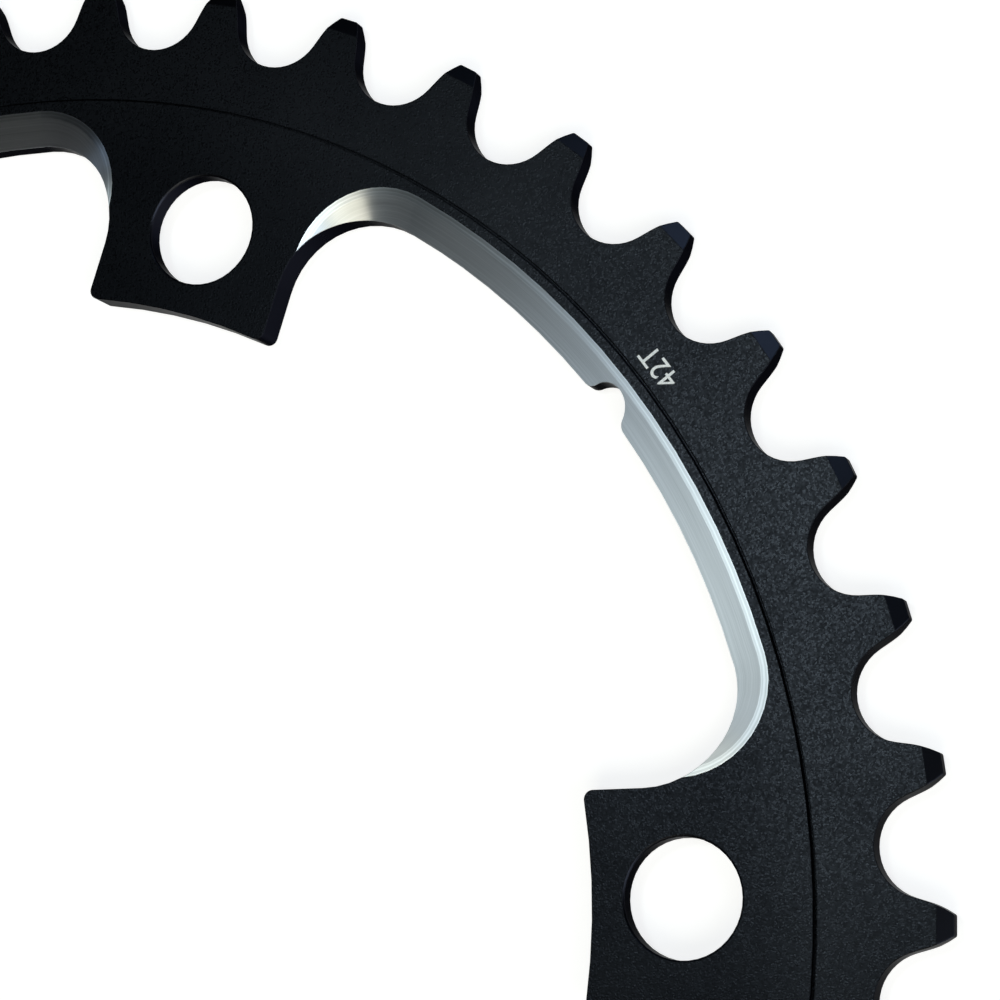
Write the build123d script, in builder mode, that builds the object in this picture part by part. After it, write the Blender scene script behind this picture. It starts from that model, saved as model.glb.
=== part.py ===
from build123d import *
from math import radians, sin, sqrt, tan
import os

# A bicycle chainring with bolt tabs, cut from one aluminium plate (millimetres).
# The ring lies on its back face: Z = 0 is the back of the web and the tabs, and +Z is the ring's axis,
# out of the front face. The origin is the centre of the ring. The first bolt tab lies on +X.

# Chain and teeth
teeth = 42
chain_pitch = 12.7
roller_diameter = 7.75
seat_clearance = 0.9        # the round seat is this much wider than the roller
seat_shift = 0.57           # the seats are cut this far outside the pitch circle
flank_angle = 20.6          # tooth flank against the centre line of its gap, degrees
flank_length = 1.15         # straight part of the flank, between the seat and the shoulder
shoulder_radius = 8.3       # the flank rounds over towards the tip on this radius
tip_height = 2.5            # pitch circle to tooth tip
tip_corner_radius = 0.25
tooth_thickness = 2.1
tip_chamfer_width = 1.35    # turned chamfer on both faces of the teeth, along the radius
tip_chamfer_depth = 0.48    # the same chamfer, along the axis

# Web between the teeth and the open middle
web_thickness = 3.0
rim_width = 5.15            # bottom of a tooth gap to the step up to the web
web_width = 4.0             # step to the inner edge of the web
relief_width = 0.2          # fine turned groove at the foot of the step
relief_depth = 0.12

# Bolt tabs
bolt_circle = 130.0
bolt_count = 5
bolt_hole = 10.2
bolt_hole_chamfer = 0.15    # broken edge on the front
bolt_recess = 12.2          # round seat on the back for the head of the bolt
bolt_seat_thickness = 1.8   # metal between that seat and the front face
tab_width = 18.5
tab_reach = 7.9             # bolt circle to the inner end of the tab
tab_corner_radius = 0.8
tab_root_radius = 8.0       # fillet between the tab and the inner edge of the web

# Bright two-step bevel along the inner edge, between the tabs
bevel_margin = 0.88         # step to the upper edge of the bevel
bevel_tab_margin = 0.75     # side of the tab to the side of the bevel's outline
bevel_root_radius = 8.0     # corner of the bevel's outline beside a tab
lip_width = 0.67            # narrow upper facet
lip_slope = 13.0            # upper facet against the front face, degrees
bevel_slope = 26.0          # broad lower facet against the front face, degrees

# Positioning notch in the inner edge, midway between the first two tabs
notch_radius = 2.1
notch_lip_radius = 1.0

# Sizes that follow from those above
pitch_radius = chain_pitch / 2 / sin(radians(180 / teeth))
seat_radius = (roller_diameter + seat_clearance) / 2
seat_centre = pitch_radius + seat_shift
root_radius = seat_centre - seat_radius
tip_radius = pitch_radius + tip_height
step_radius = root_radius - rim_width
inner_radius = step_radius - web_width
bolt_radius = bolt_circle / 2
tab_end_radius = bolt_radius - tab_reach
tab_spacing = 360 / bolt_count
half_tab = tab_width / 2
face_step = (web_thickness - tooth_thickness) / 2
rim_front = web_thickness - face_step

# One tooth gap on +X: a round roller seat, a straight flank on each side that leaves it on a tangent,
# and a shoulder that rounds each flank over, past the tip circle
half_pitch_angle = 180 / teeth
seat_half_angle = 90 - flank_angle
with BuildSketch() as tooth_gap:
    with BuildLine():
        seat = CenterArc((seat_centre, 0), seat_radius, 180 - seat_half_angle, 2 * seat_half_angle)
        flank = PolarLine(seat @ 0, flank_length, flank_angle)
        shoulder = JernArc(flank @ 1, flank % 1, shoulder_radius, 90 - flank_angle)
        mirror((flank, shoulder), about=Plane.XZ)
        Line(shoulder @ 1, ((shoulder @ 1).X, -(shoulder @ 1).Y))
    make_face()

# Toothed outline: the gaps are cut into a round blank, so that a tooth stands on the centre line of the
# third tab
first_gap_angle = 2 * tab_spacing + half_pitch_angle
with BuildSketch() as toothed_outline:
    Circle(tip_radius)
    with PolarLocations(0, teeth, start_angle=first_gap_angle):
        add(tooth_gap.sketch, mode=Mode.SUBTRACT)
    tips = [v for v in toothed_outline.vertices() if abs(v.center().length - tip_radius) < 0.001]
    fillet(tips, tip_corner_radius)

# Open middle: the round inner edge less the tabs, with a fillet beside each tab, and the half-round
# notch midway between the first two tabs. A tab's side has to be long enough for the fillet, past the
# rounded corner at its inner end.
gap_half_angle = tab_spacing / 2
corner_end = sqrt(tab_end_radius**2 - half_tab**2) + 2 * tab_corner_radius
largest_tab_fillet = (inner_radius**2 - half_tab**2 - corner_end**2) / (2 * (inner_radius + half_tab))
tab_fillet_radius = min(tab_root_radius, largest_tab_fillet)
with BuildSketch() as middle:
    Circle(inner_radius)
    with PolarLocations(0, bolt_count):
        Rectangle(tip_radius, tab_width, align=(Align.MIN, Align.CENTER), mode=Mode.SUBTRACT)
    Circle(tab_end_radius)
    roots = [v for v in middle.vertices() if abs(v.center().length - inner_radius) < 0.001]
    fillet(roots, tab_fillet_radius)
    ends = [v for v in middle.vertices() if abs(v.center().length - tab_end_radius) < 0.001]
    fillet(ends, tab_corner_radius)
    with PolarLocations(inner_radius, 1, start_angle=gap_half_angle):
        Circle(notch_radius)
    lips = [v for v in middle.vertices() if abs(v.center().length - inner_radius) < 0.001]
    lips = ShapeList(lips).sort_by_distance(Vector(inner_radius, 0).rotate(Axis.Z, gap_half_angle))[:2]
    fillet(lips, notch_lip_radius)

# Outline of the bevel in one gap, on the front face: two sides just outside the tabs' sides, an arc
# near the step and a rounded corner between them
bevel_radius = step_radius - bevel_margin
side_offset = half_tab + bevel_tab_margin
with BuildSketch() as bevel_outline:
    with BuildLine():
        apex = (side_offset / sin(radians(gap_half_angle)), 0)
        upper_side = PolarLine(apex, tip_radius, gap_half_angle)
        lower_side = PolarLine(apex, tip_radius, -gap_half_angle)
        Line(upper_side @ 1, lower_side @ 1)
    make_face()
    Circle(bevel_radius, mode=Mode.INTERSECT)
    fillet(bevel_outline.vertices().sort_by(Axis.X)[1:], bevel_root_radius)
with BuildSketch() as broad_outline:
    offset(bevel_outline.sketch, -lip_width)

# The bevel is cut by two tapered pockets, so its slopes stay the same round the corners
lip_depth = lip_width * tan(radians(lip_slope))
broad_width = bevel_radius - lip_width - inner_radius
broad_depth = broad_width * tan(radians(bevel_slope))

with BuildPart() as chainring:
    with BuildSketch(Plane.XY.offset(face_step)):
        add(toothed_outline.sketch)
    extrude(amount=tooth_thickness)
    Cylinder(step_radius, web_thickness, align=(Align.CENTER, Align.CENTER, Align.MIN))
    # Turned on both faces: the chamfer over the tooth tips and the groove at the foot of the step
    with BuildSketch(Plane.XZ):
        with BuildLine():
            rim_edge = tip_radius + tip_chamfer_width
            Polyline(
                (tip_radius - tip_chamfer_width, rim_front),
                (rim_edge, rim_front),
                (rim_edge, rim_front - 2 * tip_chamfer_depth),
                close=True,
            )
        make_face()
        with Locations((step_radius, rim_front)):
            Rectangle(relief_width, 2 * relief_depth, align=(Align.MIN, Align.CENTER))
        mirror(about=Plane.XZ.offset(-web_thickness / 2))
    revolve(axis=Axis.Z, mode=Mode.SUBTRACT)
    with BuildSketch():
        add(middle.sketch)
    extrude(amount=web_thickness, mode=Mode.SUBTRACT)
    # Bolt holes, each with its round seat on the back and a broken edge on the front
    with Locations(Plane(origin=(0, 0, 0), x_dir=(1, 0, 0), z_dir=(0, 0, -1))):
        with PolarLocations(bolt_radius, bolt_count):
            CounterBoreHole(bolt_hole / 2, bolt_recess / 2, web_thickness - bolt_seat_thickness)
    with BuildSketch(Plane.XY.offset(web_thickness)):
        with PolarLocations(bolt_radius, bolt_count):
            Circle(bolt_hole / 2 + bolt_hole_chamfer)
    extrude(amount=-bolt_hole_chamfer, taper=45, mode=Mode.SUBTRACT)
    for outline, top, depth, slope in (
        (bevel_outline, web_thickness, lip_depth, lip_slope),
        (broad_outline, web_thickness - lip_depth, broad_depth, bevel_slope),
    ):
        with BuildSketch(Plane.XY.offset(top)):
            with PolarLocations(0, bolt_count, start_angle=gap_half_angle):
                add(outline.sketch)
        extrude(amount=-depth, taper=90 - slope, mode=Mode.SUBTRACT)
chainring.part.label = "chainring"

os.makedirs("parts", exist_ok=True)
export_step(chainring.part, "parts/chainring.step")
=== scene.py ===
from math import cos, radians, sin

import bpy
from mathutils import Matrix, Quaternion, Vector


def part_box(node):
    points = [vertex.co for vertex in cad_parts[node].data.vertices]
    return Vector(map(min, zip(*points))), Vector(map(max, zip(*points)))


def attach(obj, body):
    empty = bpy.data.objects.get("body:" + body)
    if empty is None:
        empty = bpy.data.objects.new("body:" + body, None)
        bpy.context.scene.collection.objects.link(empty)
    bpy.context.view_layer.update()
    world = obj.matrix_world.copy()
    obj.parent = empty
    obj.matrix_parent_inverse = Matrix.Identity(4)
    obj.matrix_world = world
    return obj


# A black anodised bicycle chainring on a white floor, seen from above and beside its first bolt tab.
# Everything is in metres, in the ring's own frame: +Z is its axis and the first tab lies on +X.

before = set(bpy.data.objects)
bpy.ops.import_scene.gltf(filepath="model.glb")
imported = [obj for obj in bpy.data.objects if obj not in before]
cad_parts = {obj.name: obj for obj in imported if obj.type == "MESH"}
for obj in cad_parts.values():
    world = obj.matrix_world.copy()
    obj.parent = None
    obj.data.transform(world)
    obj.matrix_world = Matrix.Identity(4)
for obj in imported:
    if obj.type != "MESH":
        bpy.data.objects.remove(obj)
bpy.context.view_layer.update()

MM = 0.001
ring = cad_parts["chainring"]
back_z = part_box("chainring")[0].z
front_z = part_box("chainring")[1].z

# Sizes of the ring that its finish follows. The step lies between the teeth and the thicker web, and the
# bevel has a narrow upper facet, the lip, and a broad lower one.
tooth_thickness = 2.1 * MM
rim_front_z = (front_z + back_z + tooth_thickness) / 2
step_radius = 76.1 * MM
lip_slope = radians(13)
broad_slope = radians(26)
bevel_foot_z = 1.648 * MM

# Grain of the blasted black, drawn coarser than the real one so that it shows in the render
pit_width = 0.15 * MM
grain_width = 0.16 * MM
grain_depth = 0.016 * MM
mottle_width = 9 * MM

# Marks of the cutter, and the radius to which all edges look rounded
turned_depth = 0.002 * MM
line_length = 14 * MM
line_spacing = 0.035 * MM
line_depth = 0.0006 * MM
edge_radius = 0.12 * MM

# Painted shade: the black is a little darker on the tabs than on the rim, where the lamps' sheen falls off
# towards the centre, and it fades from one to the other between two radii
painted_falloff_start = 68 * MM
painted_falloff_end = 77 * MM
blacks_with_painted_falloff = {"tabs": ("#111215", "#141518"), "rim": ("#16171a", "#191a1d")}

# Brightness of the bevel's metal, from its lower edge (0) to its upper edge (1); the full-bright bands are
# painted highlights on the lip's ridges and at the lower edge
ridge_highlight_bands = (
    (0.01, 1.0),
    (0.05, 0.74),
    (0.12, 0.82),
    (0.5, 0.76),
    (0.875, 0.78),
    (0.885, 1.0),
    (0.9, 0.78),
    (0.92, 0.82),
    (0.93, 1.0),
    (0.94, 1.0),
    (0.955, 0.76),
    (0.98, 0.8),
    (0.99, 0.95),
)


def srgb(hex_code):
    """An sRGB hex colour as linear values."""
    channels = [int(hex_code[i : i + 2], 16) / 255 for i in (1, 3, 5)]
    return [c / 12.92 if c <= 0.04045 else ((c + 0.055) / 1.055) ** 2.4 for c in channels] + [1.0]


def node(tree, kind, settings=None, **inputs):
    """Adds a node with its settings and inputs. An input is named in lower case, or by number as in_0.
    It gets a value, a socket, or another node's first output."""
    made = tree.nodes.new(kind)
    for name, value in (settings or {}).items():
        setattr(made, name, value)
    for name, value in inputs.items():
        if name.startswith("in_"):
            socket = made.inputs[int(name[3:])]
        else:
            socket = next(s for s in made.inputs if s.enabled and s.name.lower().replace(" ", "_") == name)
        if isinstance(value, bpy.types.Node):
            value = next(s for s in value.outputs if s.enabled)
        if isinstance(value, bpy.types.NodeSocket):
            tree.links.new(value, socket)
        else:
            socket.default_value = value
    return made


def new_material(name):
    material = bpy.data.materials.new(name)
    material.use_nodes = True
    material.node_tree.nodes.clear()
    return material, material.node_tree


# Settings of the nodes that mix colours or work out a value
colours = {"data_type": "RGBA"}
tint = {"data_type": "RGBA", "blend_type": "MULTIPLY"}
below = {"operation": "LESS_THAN"}
above = {"operation": "GREATER_THAN"}
product = {"operation": "MULTIPLY"}
largest = {"operation": "MAXIMUM"}


def anodised_and_machined_aluminium():
    """Bead-blasted aluminium, anodised black, with the bevel along the inner edge machined bare afterwards.
    The blasting gives the black a fine grain that sparkles a little, and the turned slopes of the teeth are
    smoother. The cutter leaves the bare metal bright, with fine lines that run along the edge."""
    material, tree = new_material("bead_blasted_black_anodised_aluminium")
    place = node(tree, "ShaderNodeTexCoord").outputs["Object"]
    axes = node(tree, "ShaderNodeSeparateXYZ", vector=place).outputs
    flat_place = node(tree, "ShaderNodeCombineXYZ", x=axes["X"], y=axes["Y"])
    radius = node(tree, "ShaderNodeVectorMath", {"operation": "LENGTH"}, in_0=flat_place).outputs["Value"]
    true_normal = node(tree, "ShaderNodeNewGeometry").outputs["True Normal"]
    normal_z = node(tree, "ShaderNodeSeparateXYZ", vector=true_normal).outputs["Z"]
    facing = node(tree, "ShaderNodeMath", {"operation": "ABSOLUTE"}, in_0=normal_z)

    # Bare metal shows where a face slopes like the bevel, inside the step. The other slopes are turned and
    # the walls are milled: both are dyed but not blasted, so they have no grain.
    sloped = node(tree, "ShaderNodeMath", below, in_0=facing, in_1=cos(lip_slope / 2))
    gentle = node(tree, "ShaderNodeMath", above, in_0=facing, in_1=cos(1.4 * broad_slope))
    inside = node(tree, "ShaderNodeMath", below, in_0=radius, in_1=step_radius)
    bevel = node(tree, "ShaderNodeMath", product, in_0=sloped, in_1=gentle)
    bare = node(tree, "ShaderNodeMath", product, in_0=bevel, in_1=inside)

    # Pits and grain of the blasted surface, and the cutter's lines, which lie at one height all the way round
    pits = node(tree, "ShaderNodeTexVoronoi", vector=place, scale=1 / pit_width).outputs["Color"]
    grain = node(tree, "ShaderNodeTexNoise", vector=place, scale=1 / grain_width, detail=2.0, roughness=0.6)
    mottle = node(tree, "ShaderNodeTexNoise", vector=place, scale=1 / mottle_width, detail=3.0)
    line_scale = (1 / line_length, 1 / line_length, 1 / line_spacing)
    along_edge = node(tree, "ShaderNodeMapping", vector=place, scale=line_scale)
    lines = node(tree, "ShaderNodeTexNoise", vector=along_edge, scale=1.0, detail=3.0, roughness=0.65)
    mottle_share = node(tree, "ShaderNodeMapRange", value=mottle, from_min=0.3, from_max=0.7)
    line_share = node(tree, "ShaderNodeMapRange", value=lines, from_min=0.3, from_max=0.7)

    falloff_blacks = {}
    for face, (darkest, lightest) in blacks_with_painted_falloff.items():
        ends = {"a": srgb(darkest), "b": srgb(lightest)}
        falloff_blacks[face] = node(tree, "ShaderNodeMix", colours, factor=mottle_share, **ends)
    # Painted shade: the darker black of the tabs fades into the rim's black between the two radii
    painted_falloff_share = node(tree, "ShaderNodeMapRange", value=radius, from_min=painted_falloff_start, from_max=painted_falloff_end)
    blasted_with_painted_shade = node(tree, "ShaderNodeMix", colours, factor=painted_falloff_share, a=falloff_blacks["tabs"], b=falloff_blacks["rim"])
    black = node(tree, "ShaderNodeMix", colours, factor=sloped, a=blasted_with_painted_shade, b=srgb("#292a30"))

    # Painted highlights: the lip ends in fine ridges whose catch of light is painted as bright bands, and the
    # lower edge of the bevel is painted bright as well
    height = node(tree, "ShaderNodeMapRange", value=axes["Z"], from_min=bevel_foot_z, from_max=front_z)
    painted_ridge_highlights = node(tree, "ShaderNodeValToRGB", fac=height)
    painted_ridge_highlights.color_ramp.elements[0].color = (1.0, 1.0, 1.0, 1.0)
    for position, grey in ridge_highlight_bands:
        stop = painted_ridge_highlights.color_ramp.elements.new(position)
        stop.color = (grey, grey, grey, 1.0)
    metal_ends = {"a": srgb("#d6d8dc"), "b": srgb("#eff0f4")}
    plain_metal = node(tree, "ShaderNodeMix", colours, factor=line_share, **metal_ends)
    metal = node(tree, "ShaderNodeMix", tint, factor=1.0, a=plain_metal, b=painted_ridge_highlights.outputs["Color"])
    colour = node(tree, "ShaderNodeMix", colours, factor=bare, a=black, b=metal)

    pit_share = node(tree, "ShaderNodeMapRange", value=pits, from_min=0.2, from_max=0.8)
    blasted_roughness = node(tree, "ShaderNodeMapRange", value=pit_share, to_min=0.24, to_max=0.42)
    black_roughness = node(tree, "ShaderNodeMix", factor=sloped, a=blasted_roughness, b=0.33)
    metal_roughness = node(tree, "ShaderNodeMapRange", value=line_share, to_min=0.36, to_max=0.43)
    roughness = node(tree, "ShaderNodeMix", factor=bare, a=black_roughness, b=metal_roughness)

    # Rounded edges, with the grain or the lines as fine relief. The bare metal's sheen is drawn out up and
    # down the slope, across the cutter's lines.
    relief = node(tree, "ShaderNodeMix", factor=bare, a=grain, b=lines)
    black_depth = node(tree, "ShaderNodeMix", factor=sloped, a=grain_depth, b=turned_depth)
    relief_depth = node(tree, "ShaderNodeMix", factor=bare, a=black_depth, b=line_depth)
    edges = node(tree, "ShaderNodeBevel", {"samples": 8}, radius=edge_radius)
    surface = node(tree, "ShaderNodeBump", strength=1.0, distance=relief_depth, height=relief, normal=edges)
    up_the_slope = node(tree, "ShaderNodeCombineXYZ", z=1.0)
    shader = node(
        tree,
        "ShaderNodeBsdfPrincipled",
        base_color=colour,
        metallic=1.0,
        roughness=roughness,
        specular_tint=(0.3, 0.3, 0.3, 1.0),
        anisotropic=bare,
        tangent=up_the_slope,
        normal=surface,
    )
    node(tree, "ShaderNodeOutputMaterial", surface=shader)
    return material


ring.data.materials.clear()
ring.data.materials.append(anodised_and_machined_aluminium())


def laser_mark():
    """Anodised aluminium bleached by a laser: pale grey and rough, with the dots of the beam."""
    material, tree = new_material("laser_marked_anodised_aluminium")
    dot_width = 0.12 * MM
    place = node(tree, "ShaderNodeTexCoord").outputs["Object"]
    dots = node(tree, "ShaderNodeTexNoise", vector=place, scale=1 / dot_width, detail=2.0)
    dot_share = node(tree, "ShaderNodeMapRange", value=dots, from_min=0.35, from_max=0.65)
    ends = {"a": srgb("#dde1e5"), "b": srgb("#fafbfc")}
    colour = node(tree, "ShaderNodeMix", colours, factor=dot_share, **ends)
    shader = node(tree, "ShaderNodeBsdfPrincipled", base_color=colour, metallic=0.0, roughness=0.7)
    node(tree, "ShaderNodeOutputMaterial", surface=shader)
    return material


# Tooth number on the rim
number_angle = radians(35.5)
number_radius = 77.97 * MM
number_height = 1.84 * MM
number_width = 4.1 * MM
number_thickness = 0.012 * MM


def tooth_number():
    """The number of teeth, with the tops of its figures towards the centre of the ring."""
    bpy.ops.object.select_all(action="DESELECT")
    bpy.ops.object.text_add()
    number = bpy.context.object
    number.name = "tooth_number"
    number.data.body = "42T"
    number.data.extrude = 0.01
    bpy.ops.object.convert(target="MESH")
    corners = [Vector(c) for c in number.bound_box]
    low = Vector([min(c[i] for c in corners) for i in range(3)])
    size = Vector([max(c[i] for c in corners) for i in range(3)]) - low
    number.data.transform(Matrix.Translation(-(low + size / 2)))
    number.scale = (number_width / size.x, number_height / size.y, number_thickness / size.z)
    number.rotation_euler = (0, 0, number_angle + radians(90))
    outwards = Vector((cos(number_angle), sin(number_angle), 0))
    number.location = outwards * number_radius + Vector((0, 0, rim_front_z + number_thickness / 2))
    bpy.ops.object.transform_apply(location=True, rotation=True, scale=True)
    number.data.materials.append(laser_mark())
    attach(number, "root")


tooth_number()


def painted_board():
    """White painted board: matt and even, so it shows little but the ring's soft shadow."""
    material, tree = new_material("matt_white_painted_board")
    board_glow = 0.8
    path = node(tree, "ShaderNodeLightPath").outputs
    mirrored = node(
        tree, "ShaderNodeMath", largest, in_0=path["Is Glossy Ray"], in_1=path["Is Transmission Ray"]
    )
    seen = node(tree, "ShaderNodeMath", largest, in_0=path["Is Camera Ray"], in_1=mirrored)
    glow_strength = node(tree, "ShaderNodeMath", product, in_0=seen, in_1=board_glow)
    paint = node(tree, "ShaderNodeBsdfDiffuse", color=srgb("#a8a8a8"), roughness=0.5)
    glow = node(tree, "ShaderNodeEmission", color=srgb("#ffffff"), strength=glow_strength)
    both = node(tree, "ShaderNodeAddShader", in_0=paint, in_1=glow)
    node(tree, "ShaderNodeOutputMaterial", surface=both)
    return material


floor_size = 8.0
floor_gap = 0.02 * MM
bpy.ops.object.select_all(action="DESELECT")
bpy.ops.mesh.primitive_plane_add(size=floor_size, location=(0, 0, back_z - floor_gap))
floor = bpy.context.object
floor.name = "floor"
floor.data.materials.append(painted_board())

# Middle of the part of the ring that the camera sees
lamp_aim = Vector((0.06, 0.03, 0))


def soft_lamp(name, azimuth, elevation, distance, width, watts, hex_code):
    """A square soft lamp that faces the ring. Azimuth is counted from +X towards +Y, in degrees."""
    azimuth, elevation = radians(azimuth), radians(elevation)
    towards = Vector((cos(azimuth) * cos(elevation), sin(azimuth) * cos(elevation), sin(elevation)))
    bpy.ops.object.light_add(type="AREA", location=lamp_aim + towards * distance)
    lamp = bpy.context.object
    lamp.name = name
    lamp.data.shape = "SQUARE"
    lamp.data.size = width
    lamp.data.energy = watts
    lamp.data.color = srgb(hex_code)[:3]
    lamp.rotation_mode = "QUATERNION"
    lamp.rotation_quaternion = (-towards).to_track_quat("-Z", "Y")


# The overhead lamp gives the flat faces their sheen, the two near windows light the bevel, and the far one
# is mirrored in the tip chamfers
soft_lamp("overhead_lamp", 143, 74.3, 1.2, 0.2, 3.0, "#eefeff")
soft_lamp("front_window", 273, 48, 1.5, 0.95, 10.5, "#fff9de")
soft_lamp("side_window", 330, 35, 1.5, 1.0, 9.0, "#e6f2ff")
soft_lamp("far_window", 68, 48, 1.5, 0.4, 1.8, "#c2deff")

world = bpy.data.worlds.new("dim_room")
bpy.context.scene.world = world
world.use_nodes = True
room = world.node_tree.nodes["Background"].inputs
room["Color"].default_value = srgb("#c9d2e0")
room["Strength"].default_value = 0.01

# Camera: above and beside the first tab, with +Y up in the picture
camera_place = Vector((136.5, -13.1, 239.4)) * MM + Vector((0, 0, front_z))
camera_aim = Vector((49.11, 34.63, 0.0)) * MM + Vector((0, 0, front_z))
camera_roll = radians(-0.3)
sensor_width = 36.0
focal_length = 107.73

bpy.ops.object.camera_add(location=camera_place)
camera = bpy.context.object
camera.name = "camera"
camera.data.sensor_width = sensor_width
camera.data.lens = focal_length
camera.data.clip_start = 0.01
camera.data.dof.use_dof = False
camera_back = (camera_place - camera_aim).normalized()
camera_right = Vector((0, 1, 0)).cross(camera_back).normalized()
camera_up = camera_back.cross(camera_right)
camera_axes = Matrix((camera_right, camera_up, camera_back)).transposed()
camera.rotation_mode = "QUATERNION"
camera.rotation_quaternion = camera_axes.to_quaternion() @ Quaternion((0, 0, 1), camera_roll)
bpy.context.scene.camera = camera

bpy.context.scene.view_settings.view_transform = "Standard"
